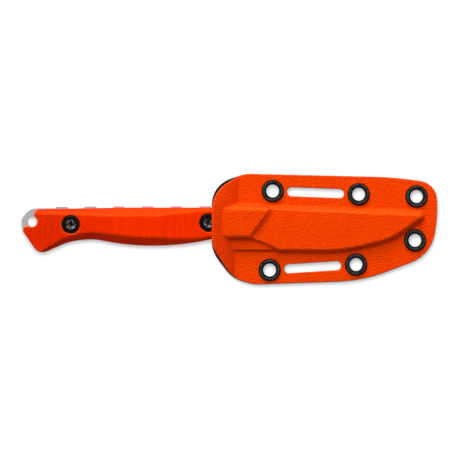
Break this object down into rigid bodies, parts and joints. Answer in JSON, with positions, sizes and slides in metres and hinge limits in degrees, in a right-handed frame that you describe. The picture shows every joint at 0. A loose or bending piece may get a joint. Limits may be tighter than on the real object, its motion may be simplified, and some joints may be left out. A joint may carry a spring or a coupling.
{
  "type": "rigging knife",
  "caption": "Fixed-blade rigging knife with orange grip scales in its two-shell sheath, orange in front and black behind, with hollow eyelets and strap slots.",
  "frame": {"origin": "on the surface that the sheathed knife lies on, under the middle of its bounding box", "axes": "+X along the knife towards the blade's tip, +Y towards the spine, +Z out of the orange front shell"},
  "size_m": [0.1908, 0.0508, 0.0143],
  "materials": {
    "orange_sheath": "thermoformed sheet with a fine haircell grain",
    "black_sheath": "thermoformed sheet with a fine haircell grain",
    "orange_grip": "glass laminate, machined and blasted",
    "blade_steel": "satin, stonewashed on the tang",
    "black_eyelet": "black enamelled brass",
    "black_screw": "black oxide steel"
  },
  "bodies": {
    "sheath": {"sheath_front_shell": "orange_sheath", "sheath_rear_shell": "black_sheath", "eyelet_upper_mouth": "black_eyelet", "eyelet_upper_middle": "black_eyelet", "eyelet_upper_tip": "black_eyelet", "eyelet_lower_tip": "black_eyelet", "eyelet_lower_middle": "black_eyelet", "eyelet_lower_mouth": "black_eyelet"},
    "knife": {"blade_and_tang": "blade_steel", "scale_front": "orange_grip", "scale_rear": "orange_grip", "barrel_guard": "black_screw", "barrel_butt": "black_screw", "screw_front_guard": "black_screw", "screw_rear_guard": "black_screw", "screw_front_butt": "black_screw", "screw_rear_butt": "black_screw"}
  },
  "joints": [
    {"name": "knife_draw", "type": "slide", "parent": "sheath", "child": "knife", "axis": [-1, 0, 0], "range_m": [0, 0.11]}
  ]
}
